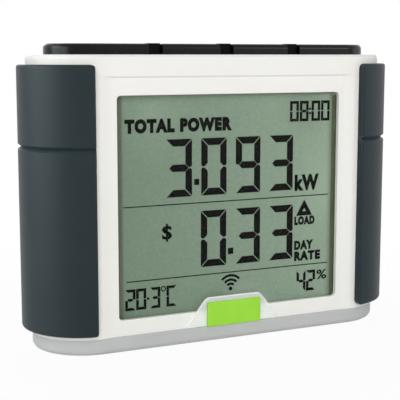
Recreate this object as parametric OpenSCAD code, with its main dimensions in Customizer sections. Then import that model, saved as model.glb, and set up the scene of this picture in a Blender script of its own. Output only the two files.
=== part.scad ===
// Smart energy monitor: a free-standing desk display with keys along its top.
// Front is -Y, right is +X, up is +Z. The origin lies on the floor under the middle.

/* [Housing] */
// Width of the white housing, without the side grips
body_w = 134; // [128:0.1:150]
// Depth of the white housing, front face to back face
body_d = 36.4; // [35.6:0.1:42]
// Wall of the housing
wall = 2.4; // [2:0.1:2.8]
// Rounding of the housing's top edge
top_edge_r = 1.4; // [0.4:0.1:2]
// Depth of the rear cover, from the back face to the parting line
rear_depth = 4.5; // [3.5:0.1:6]

/* [Plinth and feet] */
// How far the plinth's ends lie inside the housing's ends
base_end_in = 0.5; // [0:0.1:3]
// How far the plinth stands out in front of the housing and behind it
base_out = 0.1; // [0:0.05:1]
// Height of the plinth
base_h = 5.6; // [4.8:0.1:9]
// Floor of the plinth
base_floor = 2.4; // [2:0.1:3]
// Side wall of the plinth
base_wall = 2.2; // [1.6:0.1:2.4]
// Rounding of the plinth's lower edge
base_edge_r = 2; // [0.4:0.1:2.2]
// Rounding of the plinth's upper edge
base_rim_r = 0.4; // [0.2:0.1:0.5]
// Height of the locating lip above the plinth
lip_h = 1.6; // [1.2:0.1:1.8]
// Thickness of the locating lip
lip_t = 1.2; // [0.8:0.1:1.6]
// Height of the feet below the plinth
foot_h = 0.4; // [0.3:0.1:2]
// Depth of the feet's pockets in the plinth
foot_seat = 0.8; // [0.4:0.1:1.2]
// Radius of the feet
foot_r = 4.5; // [3:0.1:5.5]

/* [Front panel and window] */
// Width of the flat part of the sunk panel round the window
panel_w = 89; // [88:0.1:91]
// Width of the panel's sloping sides, where it runs out into the front
panel_ramp = 4.2; // [2:0.1:4.5]
// Distance from the top of the housing to the top of the sunk panel
panel_drop = 7.6; // [5:0.1:9]
// Depth of the sunk panel
panel_depth = 0.6; // [0.3:0.05:0.7]
// Corner radius of the sunk panel
panel_corner_r = 2; // [1:0.1:4]
// Height of the sloping edge along the top of the sunk panel
panel_bevel = 0.6; // [0.1:0.1:0.8]
// Width of the window
window_w = 85.1; // [80:0.1:87]
// Height of the window
window_h = 74.8; // [70:0.1:76]
// Height of the window's lower edge above the plinth
window_rise = 5.4; // [5:0.1:8]
// Distance from the window's upper edge to the top of the housing
window_head = 13.2; // [12:0.1:20]
// Corner radius of the window
window_corner_r = 1.3; // [0.4:0.1:2]
// Thickness of the front wall at the window's edge
window_wall = 1.5; // [1.2:0.1:1.6]

/* [Badge] */
// Width of the clear tab at the level of the window's lower edge
tab_foot_w = 28.6; // [24:0.1:34]
// Width of the clear tab's top, without its corner rounding
tab_top_w = 20.8; // [16:0.1:22]
// Height of the clear tab above the plinth
tab_h = 10.2; // [9:0.1:13]
// Thickness of the clear tab
tab_t = 0.8; // [0.5:0.1:1.5]
// Corner radius of the clear tab's top
tab_corner_r = 2.8; // [1:0.1:3]
// Width of the badge plate
badge_w = 20.8; // [16:0.1:22]
// Height of the badge plate
badge_h = 8.5; // [6:0.1:9]
// Thickness of the badge plate
badge_t = 0.5; // [0.3:0.1:0.8]
// Corner radius of the badge plate
badge_corner_r = 0.5; // [0.3:0.1:2]

/* [Side grips] */
// Thickness of the grips, which is how far they stand out from the housing
grip_t = 3; // [2.4:0.1:4]
// Distance from the start of the housing's rounded ends to the grips' front edges
grip_in = 1.8; // [1.2:0.1:3.2]
// Height of the grips' lower edges above the plinth
grip_rise = 1.5; // [0.5:0.1:3]
// Distance from the top of the housing to the grips' upper edges
grip_drop = 3.2; // [1.6:0.1:8]
// Rounding of the grips' edges
grip_edge_r = 1.0; // [0.6:0.1:2]
// Rounding of the grips' corners, seen from the front
grip_corner_r = 1.8; // [0.6:0.1:2]
// Distance from the grips' tops to the middle of the groove
groove_drop = 27.1; // [15:0.1:45]
// Height of the groove
groove_h = 1.9; // [1:0.1:3]
// Depth of the groove
groove_depth = 1.2; // [0.6:0.1:1.3]

/* [Display] */
// Thickness of the clear window pane
lens_t = 0.8; // [0.6:0.1:1.2]
// Lap of the pane and the display beyond the window on each side
lens_lap = 2.6; // [2:0.1:2.8]
// Thickness of the gasket
gasket_t = 0.3; // [0.2:0.1:0.6]
// Width of the gasket's border that shows in the window, left and right
gasket_side = 1.1; // [0.5:0.1:3]
// Width of the gasket's border that shows along the top of the window
gasket_top = 0.6; // [0.3:0.1:3]
// Thickness of each glass of the display
glass_t = 1.1; // [0.7:0.1:1.1]
// Width of the contact ledges along the top and bottom of the display
glass_ledge = 4; // [3:0.1:6]
// Thickness of the reflector
reflector_t = 0.3; // [0.2:0.1:0.5]
// Depth of the display holder, from the pane to the main board
holder_d = 6; // [5:0.1:6.2]
// Wall of the display holder
holder_t = 1.2; // [0.8:0.1:1.4]
// Thickness of the elastomer contact strips
zebra_t = 2.4; // [1.5:0.1:2.8]

/* [Keys] */
// Distance from the housing's ends to the key strip's ends
strip_end_in = 6; // [5:0.1:9]
// Distance from the housing's front and back to the key strip
strip_side_in = 5.6; // [5.4:0.1:6.6]
// Height of the key strip
strip_h = 3.6; // [3.4:0.1:5]
// Distance between the gaps in the key strip
key_pitch = 26.5; // [24:0.1:28]
// Width of the gaps between keys
key_gap = 5; // [4:0.1:6]
// Depth of the seat in the housing's top that holds the bezel and the keys' skirts
seat_depth = 1.4; // [1.2:0.05:1.5]
// Travel of the keys
key_travel = 0.6; // [0.3:0.05:0.7]
// Rounding of the keys' upper edges
key_edge_r = 1.5; // [0.8:0.1:1.8]
// Rounding of the keys' ends at the gaps
key_end_r = 0.4; // [0.2:0.1:1.2]
// Wall of the keys
key_wall = 1.2; // [1:0.1:1.5]
// Radius of the keys' stems
stem_r = 2.2; // [1.8:0.1:2.6]
// Radius of the keys' guide pins
guide_r = 1.1; // [0.8:0.1:1.4]
// Thickness of the key bezel's plate
bezel_t = 1.5; // [1.2:0.1:1.6]
// Thickness of the bezel's flange under the keys' skirts
flange_t = 0.6; // [0.4:0.1:0.8]
// Height of the ribs' raised front ends above the keys
rib_rise = 0.15; // [0.05:0.05:0.6]
// Depth of the ribs' raised front ends
rib_end_d = 3; // [2:0.1:5]
// Depth of the rest of a rib below the tops of the keys
rib_dip = 0.6; // [0.2:0.1:1]
// Distance from the strip's front and back to the bezel's ribs
rib_setback = 1.5; // [1:0.1:3]

/* [Key board and switches] */
// Depth of the key board
key_board_d = 13; // [11:0.1:13]
// Height of the switch housings
switch_h = 3.4; // [3:0.1:3.5]
// Width of the switch housings
switch_w = 6; // [5:0.1:7]
// Radius of the switch plungers
plunger_r = 1.7; // [1.4:0.1:2]
// Distance that the plungers stand out of their housings
plunger_out = 1.6; // [1.2:0.1:1.7]

/* [Boards] */
// Thickness of the circuit boards
board_t = 1.6; // [1.2:0.1:1.6]
// Distance from the middle of the window to the board posts, upwards and downwards
post_rise = 29; // [24:0.1:33]
// Radius of the board posts
post_r = 2.6; // [2.2:0.1:2.8]

/* [Battery bay] */
// Radius of a cell
cell_r = 7.25; // [6.9:0.05:7.3]
// Length of a cell
cell_len = 50.5; // [49:0.1:51]
// Radius of a cell's raised end
cell_nub_r = 2.7; // [2:0.1:3]
// Length of a cell's raised end
cell_nub = 1.2; // [0.8:0.1:1.5]
// Gap between the cells
cell_gap = 0.4; // [0.3:0.1:1]
// Height of the bay's middle above the plinth
bay_rise = 45; // [40:0.1:50]
// Wall of the bay
bay_wall = 1.5; // [1:0.1:1.6]
// Room for a leaf contact
leaf_room = 4.2; // [3:0.1:5]
// Thickness of the contacts
contact_t = 0.4; // [0.2:0.1:0.5]
// Width of the contacts
contact_w = 8; // [6:0.1:10]
// Lap of the battery door beyond the bay
door_lap = 2.6; // [2:0.1:4]
// Thickness of the battery door
door_t = 2.2; // [2:0.1:2.3]
// Radius of the door's hinge pins
pin_r = 0.6; // [0.5:0.05:0.7]
// Length of the door's hinge pins
pin_len = 1.6; // [1.2:0.1:2]
// Width of the door's latch tongue
latch_w = 12; // [8:0.1:18]

/* [Fasteners] */
// Distance from the middle to the case screws
case_screw_x = 40; // [38:0.1:43]
// Height of the lower case screws above the plinth
case_screw_rise = 6.5; // [6:0.1:8]
// Distance from the housing's ends to the plinth's screws
base_screw_in = 11; // [10:0.1:13]
// Radius of the screws' shanks
shank_r = 1.2; // [0.8:0.05:1.3]
// Radius of the screws' heads
head_r = 2.6; // [2.2:0.1:2.8]
// Height of the screws' heads
head_h = 1.1; // [0.8:0.1:1.2]
// Length of the screws' shanks
shank_len = 6.4; // [5:0.1:6.8]

/* [Clearances] */
// Gap between pieces that are pushed or snapped together
snap_gap = 0.1; // [0.05:0.05:0.2]
// Gap round moving pieces
run_gap = 0.4; // [0.3:0.05:0.5]
// Gap round the battery door
door_gap = 0.25; // [0.2:0.05:0.4]
// Radial gap of the hinge pins and the screws in their holes
pin_gap = 0.06; // [0.04:0.01:0.08]

/* [Hidden] */
$fn = 64;

// Steps in a quarter of a rounded edge
arc_steps = 8;
// Overlap that makes cuts clean and joins certain
eps = 0.02;
// Longer than any cut needs to be
far = 400;
// How far a cut runs past the face that it opens
over = 1;

// Housing
body_h = window_rise + window_h + window_head;
body_r = body_d / 2;
end_x = (body_w - body_d) / 2;
in_r = body_r - wall;
grip_x = end_x + grip_in;
z_base = foot_h;
z_body = z_base + base_h;
z_top = z_body + body_h;
z_ceiling = z_top - wall;
y_split = body_r - rear_depth;
y_panel = -body_r + panel_depth;

// Plinth
base_r = body_r + base_out;
base_end_x = body_w / 2 - base_end_in - base_r;
lip_r = in_r - snap_gap;
foot_x = end_x;
foot_inset = 2;
foot_y = base_r - base_edge_r - foot_r - foot_inset;

// Display stack, from the front wall backwards
y_lens = y_panel + window_wall;
y_gasket = y_lens + lens_t;
y_glass = y_gasket + gasket_t;
y_reflector = y_glass + 2 * glass_t;
y_board = y_gasket + holder_d;
y_board_back = y_board + board_t;
window_z = z_body + window_rise;
window_mid = window_z + window_h / 2;
lens_w = window_w + 2 * lens_lap;
lens_h = window_h + 2 * lens_lap;
lcd_w = lens_w;
lcd_short = 1;
lcd_h = lens_h - lcd_short;
holder_w = lcd_w + 2 * snap_gap + 2 * holder_t;
holder_h = lcd_h + 2 * snap_gap + 2 * holder_t;
holder_rib_h = 3;
holder_rib_rise = 14;
post_x = holder_w / 2 + post_r + snap_gap;
board_edge = 1;
board_w = 2 * (post_x + post_r + board_edge);
board_short = 1;
board_h = lcd_h - board_short;
board_top = window_mid + board_h / 2;
board_low = window_mid - board_h / 2;

// Key strip, left to right
strip_w = body_w - 2 * strip_end_in;
strip_r = body_r - strip_side_in;
strip_end_x = strip_w / 2 - strip_r;
key_float = 0.1;
z_seat = z_top - seat_depth;
seat_r = strip_r + run_gap;
ceiling_join = (wall - seat_depth) / 2;
z_key = z_seat + flange_t + key_travel + key_float;
z_key_top = z_top + strip_h;
key_edges = [
    [-strip_w / 2, -key_pitch - key_gap / 2],
    [-key_pitch + key_gap / 2, -key_gap / 2],
    [key_gap / 2, key_pitch - key_gap / 2],
    [key_pitch + key_gap / 2, strip_w / 2]
];
guide_inset = 4.5;
stem_hole_r = stem_r + run_gap;
guide_hole_r = guide_r + run_gap;
bezel_r = strip_r - key_wall - run_gap;
flange_inset = 0.3;
flange_r = strip_r - flange_inset;

// Key board and switches, from the ceiling downwards
z_switch = z_ceiling - switch_h - run_gap;
z_key_board = z_switch - board_t;
z_plunger_top = z_switch + switch_h + plunger_out;
switch_floor = 0.8;
plunger_float = 0.2;
plunger_z = z_switch + switch_floor + key_travel + plunger_float;
key_board_margin = 2;
key_board_w = key_edges[3][0] + key_edges[3][1] + switch_w + 2 * key_board_margin;
key_post_x = key_pitch;

// Battery bay, seen from behind the door forwards
bay_mid = z_body + bay_rise;
cells = 3;
contact_play = 0.2;
plate_room = contact_t + contact_play;
bay_w = cell_len + leaf_room + plate_room;
bay_side_gap = 0.35;
bay_h = cells * 2 * cell_r + (cells - 1) * cell_gap + 2 * bay_side_gap;
cell_pitch = 2 * cell_r + cell_gap;
cell_shift = (leaf_room - plate_room) / 2;
cell_back_gap = 0.8;
cell_y = in_r - cell_back_gap - cell_r;
bay_floor_gap = 0.15;
bay_floor_y = cell_y - cell_r - bay_floor_gap;
bay_flange_t = 1.5;
bay_flange_lap = 3;
lead_r = 0.6;
lead_x = bay_w / 2 + bay_wall + lead_r + snap_gap;
door_w = bay_w + 2 * door_lap;
door_h = bay_h + 2 * door_lap;
hinge_y = body_r - door_t / 2;
hinge_z = bay_mid + door_h / 2 - door_t / 2;
door_low = bay_mid - door_h / 2;
finger_r = 9.6;
finger_out = 8.4;

// Fasteners
boss_wall = 1.5;
boss_r = shank_r + boss_wall;
bore_r = shank_r + pin_gap;
screw_play = 0.3;
pass_r = shank_r + screw_play;
sink_r = head_r + screw_play;
sink_depth = head_h + snap_gap;
case_high_z = z_ceiling - boss_r - snap_gap;
case_low_z = z_body + case_screw_rise;
boss_y0 = key_board_d / 2 + run_gap;
boss_y1 = in_r - snap_gap;
base_screw_x = body_w / 2 - base_screw_in;
base_boss_h = 18;

// Points on an arc, from angle a0 to angle a1
function arc(cx, cy, r, a0, a1) =
    [for (i = [0:arc_steps]) let (a = a0 + (a1 - a0) * i / arc_steps) [cx + r * cos(a), cy + r * sin(a)]];

// Outline of a rectangle with rounded corners, centred on the origin
function rounded(w, h, r) = concat(
    arc(w / 2 - r, h / 2 - r, r, 0, 90),
    arc(-w / 2 + r, h / 2 - r, r, 90, 180),
    arc(-w / 2 + r, -h / 2 + r, r, 180, 270),
    arc(w / 2 - r, -h / 2 + r, r, 270, 360)
);

// Sweeps a profile, drawn from the middle outwards and from the floor upwards, round a long rounded plan
module round_ended(half) {
    for (turn = [0, 180])
        rotate([0, 0, turn])
            translate([half, 0, 0])
                rotate([0, 0, -90])
                    rotate_extrude(angle = 180)
                        children();
    rotate([90, 0, 90])
        translate([0, 0, -half])
            linear_extrude(2 * half) {
                children();
                mirror([1, 0]) children();
            }
}

// Raises a drawing of the front (x to the right, y upwards) into a slab from y0 back to y1
module slab(y0, y1) {
    translate([0, y1, 0])
        rotate([90, 0, 0])
            linear_extrude(y1 - y0)
                children();
}

// A box given by its middle in x and z, and by its front and back
module block(x, z, w, h, y0, y1) {
    translate([x - w / 2, y0, z - h / 2])
        cube([w, y1 - y0, h]);
}

// A rod along Y from y0 back to y1
module rod(x, z, r, y0, y1) {
    translate([x, y1, z])
        rotate([90, 0, 0])
            cylinder(r = r, h = y1 - y0);
}

// A screw with its head's seat at the origin and its shank pointing upwards
module screw() {
    translate([0, 0, -head_h])
        cylinder(r = head_r, h = head_h);
    cylinder(r = shank_r, h = shank_len);
}

// Housing as one shell, before it is parted into a front and a rear
module housing_shell() {
    difference() {
        round_ended(end_x)
            polygon(concat(
                [[0, z_body], [body_r, z_body]],
                arc(body_r - top_edge_r, z_top - top_edge_r, top_edge_r, 0, 90),
                [[0, z_top]]
            ));
        round_ended(end_x)
            polygon([[0, z_body - over], [in_r, z_body - over], [in_r, z_ceiling], [0, z_ceiling]]);
    }
}

// Everything behind the parting line
module behind_split() {
    translate([-far / 2, y_split, -far / 2])
        cube([far, far, far]);
}

// Outline of the sunk panel, open at the bottom, widened at its sides and raised at its top
module panel_outline(widen, raise) {
    half = panel_w / 2 + widen;
    top = z_top - panel_drop + raise;
    r = panel_corner_r;
    polygon(concat(
        [[-half, z_body - over], [half, z_body - over]],
        arc(half - r, top - r, r, 0, 90),
        arc(-half + r, top - r, r, 90, 180)
    ));
}

// The sunk panel's hollow: its top edge is crisp and its sides slope gently
module panel_hollow() {
    hull() {
        slab(y_panel - eps, y_panel) panel_outline(0, 0);
        slab(-body_r - eps, -body_r) panel_outline(panel_ramp, panel_bevel);
    }
}

// Holes for the keys' stems and guide pins
module key_holes(z0, z1) {
    for (edges = key_edges) {
        mid = (edges[0] + edges[1]) / 2;
        translate([mid, 0, z0])
            cylinder(r = stem_hole_r, h = z1 - z0);
        for (x = [edges[0] + guide_inset, edges[1] - guide_inset])
            translate([x, 0, z0])
                cylinder(r = guide_hole_r, h = z1 - z0);
    }
}

// Seat for the bezel and the keys in the housing's top
module key_seat() {
    round_ended(strip_end_x)
        translate([0, z_seat])
            square([seat_r, seat_depth + over]);
}

module front_cover() {
    color("#efeeea")
        difference() {
            union() {
                difference() {
                    housing_shell();
                    behind_split();
                    panel_hollow();
                    slab(-far, 0)
                        translate([0, window_mid])
                            polygon(rounded(window_w, window_h, window_corner_r));
                    block(0, window_mid, lens_w + 2 * snap_gap, lens_h + 2 * snap_gap, y_lens, 0);
                    key_holes(z_ceiling - over, z_top + over);
                    key_seat();
                }
                for (x = [-post_x, post_x], rise = [-post_rise, post_rise])
                    rod(x, window_mid + rise, post_r, -body_r + wall / 2, y_board);
                for (x = [-key_post_x, key_post_x])
                    translate([x, 0, z_switch])
                        cylinder(r = boss_r, h = z_ceiling - z_switch + ceiling_join);
                for (x = [-case_screw_x, case_screw_x]) {
                    rod(x, case_high_z, boss_r, boss_y0, boss_y1);
                    translate([x - boss_r, boss_y0, case_high_z])
                        cube([2 * boss_r, y_split - boss_y0, z_ceiling - case_high_z + ceiling_join]);
                }
                for (turn = [0, 180])
                    rotate([0, 0, turn]) {
                        translate([base_screw_x, 0, z_base + base_floor])
                            cylinder(r = boss_r, h = base_boss_h);
                        translate([base_screw_x, -wall / 2, z_body + lip_h + snap_gap])
                            cube([end_x + in_r + wall / 2 - base_screw_x, wall, base_boss_h - base_h]);
                    }
            }
            for (x = [-post_x, post_x], rise = [-post_rise, post_rise])
                rod(x, window_mid + rise, bore_r, y_board_back - shank_len - eps, y_board + over);
            for (x = [-key_post_x, key_post_x])
                translate([x, 0, z_switch - over])
                    cylinder(r = bore_r, h = shank_len - board_t + over + snap_gap);
            for (x = [-case_screw_x, case_screw_x])
                rod(x, case_high_z, bore_r, boss_y0 - over, boss_y1 + over);
            for (x = [-base_screw_x, base_screw_x])
                translate([x, 0, z_base])
                    cylinder(r = bore_r, h = base_boss_h - base_floor);
        }
}

// Slots that let room air reach the climate sensor
vent_x = -41;
vent_w = 9;
vent_h = 1.4;
vent_pitch = 3;
vents = 5;
vent_rise = 34;
vent_z = z_body + vent_rise;

module rear_cover() {
    color("#efeeea")
        difference() {
            union() {
                intersection() {
                    housing_shell();
                    translate([0, snap_gap, 0])
                        behind_split();
                }
                block(0, bay_mid, door_w + 2 * bay_flange_lap, door_h + 2 * bay_flange_lap,
                    in_r - bay_flange_t, in_r + eps);
                block(0, bay_mid, bay_w + 2 * bay_wall, bay_h + 2 * bay_wall, bay_floor_y - bay_wall, in_r);
            }
            key_seat();
            block(0, bay_mid, bay_w, bay_h, bay_floor_y, far);
            block(0, bay_mid, door_w + 2 * door_gap, door_h + 2 * door_gap, in_r, far);
            for (turn = [-1, 1])
                translate([turn * (door_w / 2 - eps), hinge_y, hinge_z])
                    rotate([0, turn * 90, 0])
                        cylinder(r = pin_r + pin_gap, h = pin_len + door_gap);
            translate([0, body_r + finger_out, door_low])
                sphere(r = finger_r);
            for (x = [-case_screw_x, case_screw_x], z = [case_low_z, case_high_z]) {
                rod(x, z, pass_r, in_r - over, far);
                rod(x, z, sink_r, body_r - sink_depth, far);
            }
            for (i = [0:vents - 1])
                block(vent_x, vent_z + i * vent_pitch, vent_w, vent_h, in_r - over, far);
        }
}

module base_plinth() {
    color("#bcbebe")
        difference() {
            union() {
                difference() {
                    round_ended(base_end_x)
                        polygon(concat(
                            [[0, z_base]],
                            arc(base_r - base_edge_r, z_base + base_edge_r, base_edge_r, -90, 0),
                            arc(base_r - base_rim_r, z_body - base_rim_r, base_rim_r, 0, 90),
                            [[0, z_body]]
                        ));
                    round_ended(base_end_x)
                        polygon([
                            [0, z_base + base_floor], [base_r - base_wall, z_base + base_floor],
                            [base_r - base_wall, z_body + over], [0, z_body + over]
                        ]);
                }
                difference() {
                    round_ended(end_x)
                        polygon([
                            [0, z_base + base_floor - eps], [lip_r, z_base + base_floor - eps],
                            [lip_r, z_body + lip_h], [0, z_body + lip_h]
                        ]);
                    round_ended(end_x)
                        polygon([
                            [0, z_base], [lip_r - lip_t, z_base],
                            [lip_r - lip_t, z_body + lip_h + over], [0, z_body + lip_h + over]
                        ]);
                }
                for (x = [-case_screw_x, case_screw_x])
                    translate([x - boss_r, boss_y0, z_base + base_floor - eps])
                        cube([2 * boss_r, boss_y1 - boss_y0, case_low_z + boss_r - z_base - base_floor]);
            }
            for (x = [-case_screw_x, case_screw_x])
                rod(x, case_low_z, bore_r, boss_y0 - over, boss_y1 + over);
            for (x = [-base_screw_x, base_screw_x]) {
                translate([x, 0, z_base - over])
                    cylinder(r = pass_r, h = base_h);
                translate([x, 0, z_base - over])
                    cylinder(r = sink_r, h = over + sink_depth);
            }
            for (x = [-foot_x, foot_x], y = [-foot_y, foot_y])
                translate([x, y, z_base - over])
                    cylinder(r = foot_r + snap_gap, h = over + foot_seat);
        }
}

// The right grip: a ring round the housing's end, cut off at its rounded front and rear edges
module grip() {
    r0 = body_r + snap_gap;
    r1 = body_r + grip_t;
    z0 = z_body + grip_rise;
    z1 = z_top - grip_drop;
    groove_z = z1 - groove_drop;
    f = grip_edge_r;
    rim_x = grip_x + f;
    rim_y = sqrt(pow(r1 - f + eps, 2) - pow(rim_x - end_x, 2));
    rim_sweep = 100;
    c = grip_corner_r;
    color("#3c4245")
        intersection() {
            translate([end_x, 0, 0])
                rotate_extrude()
                    polygon(concat(
                        [[r0, z0]],
                        arc(r1 - f, z0 + f, f, -90, 0),
                        [[r1, groove_z - groove_h / 2], [r1 - groove_depth, groove_z]],
                        [[r1, groove_z + groove_h / 2]],
                        arc(r1 - f, z1 - f, f, 0, 90),
                        [[r0, z1]]
                    ));
            linear_extrude(far)
                polygon(concat(
                    arc(rim_x, rim_y, f, 180 - rim_sweep, 180),
                    arc(rim_x, -rim_y, f, 180, 180 + rim_sweep),
                    [[rim_x + f, -far], [far, -far], [far, far], [rim_x + f, far]]
                ));
            slab(-far, far)
                polygon(concat(
                    arc(grip_x + c, z1 - c, c, 90, 180),
                    arc(grip_x + c, z0 + c, c, 180, 270),
                    [[far, z0], [far, z1]]
                ));
        }
}

module right_grip() {
    grip();
}

module left_grip() {
    mirror([1, 0, 0]) grip();
}

// Slope of the tab's sides, from its foot at the window's lower edge up to its top
tab_slope = (tab_foot_w - tab_top_w) / 2 / (tab_h - window_rise);
tab_low_half = tab_foot_w / 2 + tab_slope * window_rise;

module badge_tab() {
    low = z_body + snap_gap;
    top = z_body + tab_h;
    lean = atan(tab_slope);
    r = tab_corner_r;
    corner_x = tab_top_w / 2 - r * (1 - sin(lean)) / cos(lean);
    color("#d9e0d8", 0.7)
        slab(y_panel - tab_t, y_panel - eps)
            polygon(concat(
                [[-tab_low_half, low], [tab_low_half, low]],
                arc(corner_x, top - r, r, lean, 90),
                arc(-corner_x, top - r, r, 90, 180 - lean)
            ));
}

module badge_plate() {
    y1 = min(y_panel - tab_t, -base_r);
    color("#98dc3c")
        slab(y1 - badge_t, y1 - eps)
            translate([0, z_body + badge_h / 2])
                polygon(rounded(badge_w, badge_h, badge_corner_r));
}

module window_lens() {
    color("#e8f0ee", 0.3)
        block(0, window_mid, lens_w, lens_h, y_lens, y_gasket);
}

module lcd_gasket() {
    open_w = window_w - 2 * gasket_side;
    open_h = window_h - gasket_top + over;
    color("#3a3f33")
        difference() {
            block(0, window_mid, lcd_w, lcd_h, y_gasket, y_glass);
            block(0, window_z - over + open_h / 2, open_w, open_h, y_gasket - over, y_glass + over);
        }
}

module lcd_glass() {
    color("#86a08a") {
        block(0, window_mid, lcd_w, lcd_h, y_glass, y_glass + glass_t);
        block(0, window_mid, lcd_w, lcd_h - 2 * glass_ledge, y_glass + glass_t - eps, y_reflector);
    }
}

module lcd_reflector() {
    margin = 0.8;
    color("#c9cdc6")
        block(0, window_mid, lcd_w - 2 * margin, lcd_h - 2 * glass_ledge - 2 * margin,
            y_reflector, y_reflector + reflector_t);
}

module lcd_holder() {
    color("#d8d8d4")
        union() {
            difference() {
                block(0, window_mid, holder_w, holder_h, y_gasket, y_board);
                block(0, window_mid, lcd_w + 2 * snap_gap, lcd_h + 2 * snap_gap,
                    y_gasket - over, y_board + over);
            }
            for (rise = [-holder_rib_rise, holder_rib_rise])
                block(0, window_mid + rise, holder_w - holder_t, holder_rib_h,
                    y_reflector + reflector_t, y_board);
        }
}

module zebra_strips() {
    margin = 5;
    color("#d98aa0")
        for (side = [-1, 1])
            block(0, window_mid + side * (lcd_h - glass_ledge) / 2, lcd_w - 2 * margin, zebra_t,
                y_glass + glass_t, y_board);
}

module main_board() {
    color("#2f6b3f")
        difference() {
            block(0, window_mid, board_w, board_h, y_board, y_board_back);
            for (x = [-post_x, post_x], rise = [-post_rise, post_rise])
                rod(x, window_mid + rise, pass_r, y_board - over, y_board_back + over);
        }
}

// Places of the parts on the back of the main board
chip_rise = 9;
chip_at = [-20, board_low + chip_rise];
chip_w = 12;
crystal_at = [-4, board_low + chip_rise];
buzzer_at = [20, board_low + chip_rise];
buzzer_r = 6.5;
buzzer_h = 4.4;
sensor_at = [vent_x, vent_z + vents * vent_pitch / 2];
module_w = 14;
module_h = 24;
module_t = 1;
module_room = 1.4;
module_rise = 4;
module_at = [lead_x + lead_r + module_room + module_w / 2, window_mid + module_rise];
antenna_r = 0.4;
antenna_drop = 3;
antenna_z = board_top - antenna_drop;
antenna_run = 62;
ribbon_in = 11.5;
ribbon_x = -key_board_w / 2 + ribbon_in;

module processor_chip() {
    chip_lift = 0.1;
    chip_t = 1.6;
    lead_w = 0.5;
    lead_t = 0.4;
    lead_out = 1;
    leads = 8;
    lead_pitch = 1.2;
    color("#1d1d1f") {
        block(chip_at[0], chip_at[1], chip_w, chip_w,
            y_board_back + chip_lift, y_board_back + chip_lift + chip_t);
        for (i = [0:leads - 1]) {
            step = (i - (leads - 1) / 2) * lead_pitch;
            block(chip_at[0], chip_at[1] + step, chip_w + 2 * lead_out, lead_w,
                y_board_back, y_board_back + lead_t);
        }
    }
}

module clock_crystal() {
    can_r = 1.5;
    can_half = 3;
    can_h = 2.8;
    color("#c6c8cc")
        translate([crystal_at[0], y_board_back, crystal_at[1]])
            rotate([-90, 0, 0]) {
                round_ended(can_half)
                    square([can_r, can_h]);
            }
}

module alarm_buzzer() {
    hole_r = 1;
    top = y_board_back + buzzer_h;
    color("#222224")
        difference() {
            rod(buzzer_at[0], buzzer_at[1], buzzer_r, y_board_back, top);
            rod(buzzer_at[0], buzzer_at[1], hole_r, top - over, top + over);
        }
}

module climate_sensor() {
    sensor_w = 5;
    sensor_h = 2;
    port_r = 0.8;
    port_depth = 0.6;
    top = y_board_back + sensor_h;
    color("#e6e6e2")
        difference() {
            block(sensor_at[0], sensor_at[1], sensor_w, sensor_w, y_board_back, top);
            rod(sensor_at[0], sensor_at[1], port_r, top - port_depth, top + over);
        }
}

module receiver_module() {
    can_w = 10;
    can_h = 11;
    can_t = 2.4;
    can_drop = 4;
    color("#3568a0") {
        block(module_at[0], module_at[1], module_w, module_h, y_board_back, y_board_back + module_t);
        block(module_at[0], module_at[1] - can_drop, can_w, can_h, y_board_back + module_t - eps,
            y_board_back + module_t + can_t);
    }
}

// The aerial rises from the receiver and runs left along the top of the main board
module antenna_wire() {
    y = y_board_back + module_t / 2;
    z0 = module_at[1] + module_h / 2;
    color("#c98a3a")
        union() {
            translate([module_at[0], y, z0])
                cylinder(r = antenna_r, h = antenna_z - z0);
            translate([module_at[0], y, antenna_z])
                sphere(r = antenna_r);
            translate([module_at[0] - antenna_run, y, antenna_z])
                rotate([0, 90, 0])
                    cylinder(r = antenna_r, h = antenna_run);
        }
}

// A stretch of the rib between two keys, up to height z
module rib(x, z, y0, y1) {
    block(x, (z_seat + z) / 2, key_gap - 2 * run_gap, z - z_seat, y0, y1);
}

rib_y = strip_r - rib_setback;

module key_bezel() {
    color("#141415")
        difference() {
            union() {
                round_ended(strip_end_x)
                    translate([0, z_seat])
                        square([flange_r, flange_t]);
                round_ended(strip_end_x)
                    translate([0, z_seat])
                        square([bezel_r, bezel_t]);
                for (x = [-key_pitch, 0, key_pitch]) {
                    rib(x, z_key_top - rib_dip, -rib_y, rib_y);
                    rib(x, z_key_top + rib_rise, -rib_y, -rib_y + rib_end_d);
                }
            }
            key_holes(z_seat - over, z_seat + bezel_t + over);
        }
}

// The whole strip of keys, with rounded upper edges
module key_strip() {
    round_ended(strip_end_x)
        polygon(concat(
            [[0, z_key], [strip_r, z_key]],
            arc(strip_r - key_edge_r, z_key_top - key_edge_r, key_edge_r, 0, 90),
            [[0, z_key_top]]
        ));
}

// The slice of the strip that one key fills, with rounded upper ends
module key_slice(x0, x1) {
    slab(-far, far)
        polygon(concat(
            [[x0, z_key - over], [x1, z_key - over]],
            arc(x1 - key_end_r, z_key_top - key_end_r, key_end_r, 0, 90),
            arc(x0 + key_end_r, z_key_top - key_end_r, key_end_r, 90, 180)
        ));
}

// One of the four keys, counted from the left
module key(i) {
    x0 = key_edges[i][0];
    x1 = key_edges[i][1];
    mid = (x0 + x1) / 2;
    roof = z_key_top - key_wall;
    // The outer ends follow the strip, so the slice runs past them there
    s0 = i == 0 ? x0 - far : x0;
    s1 = i == len(key_edges) - 1 ? x1 + far : x1;
    color("#1b1b1c")
        union() {
            difference() {
                intersection() {
                    key_strip();
                    key_slice(s0, s1);
                }
                round_ended(strip_end_x)
                    translate([0, z_key - over])
                        square([strip_r - key_wall, roof - z_key + over]);
            }
            translate([mid, 0, z_plunger_top])
                cylinder(r = stem_r, h = roof - z_plunger_top + eps);
            for (x = [x0 + guide_inset, x1 - guide_inset])
                translate([x, 0, z_ceiling + key_travel])
                    cylinder(r = guide_r, h = roof - z_ceiling - key_travel + eps);
        }
}

module outer_left_key() {
    key(0);
}

module inner_left_key() {
    key(1);
}

module inner_right_key() {
    key(2);
}

module outer_right_key() {
    key(3);
}

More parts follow.
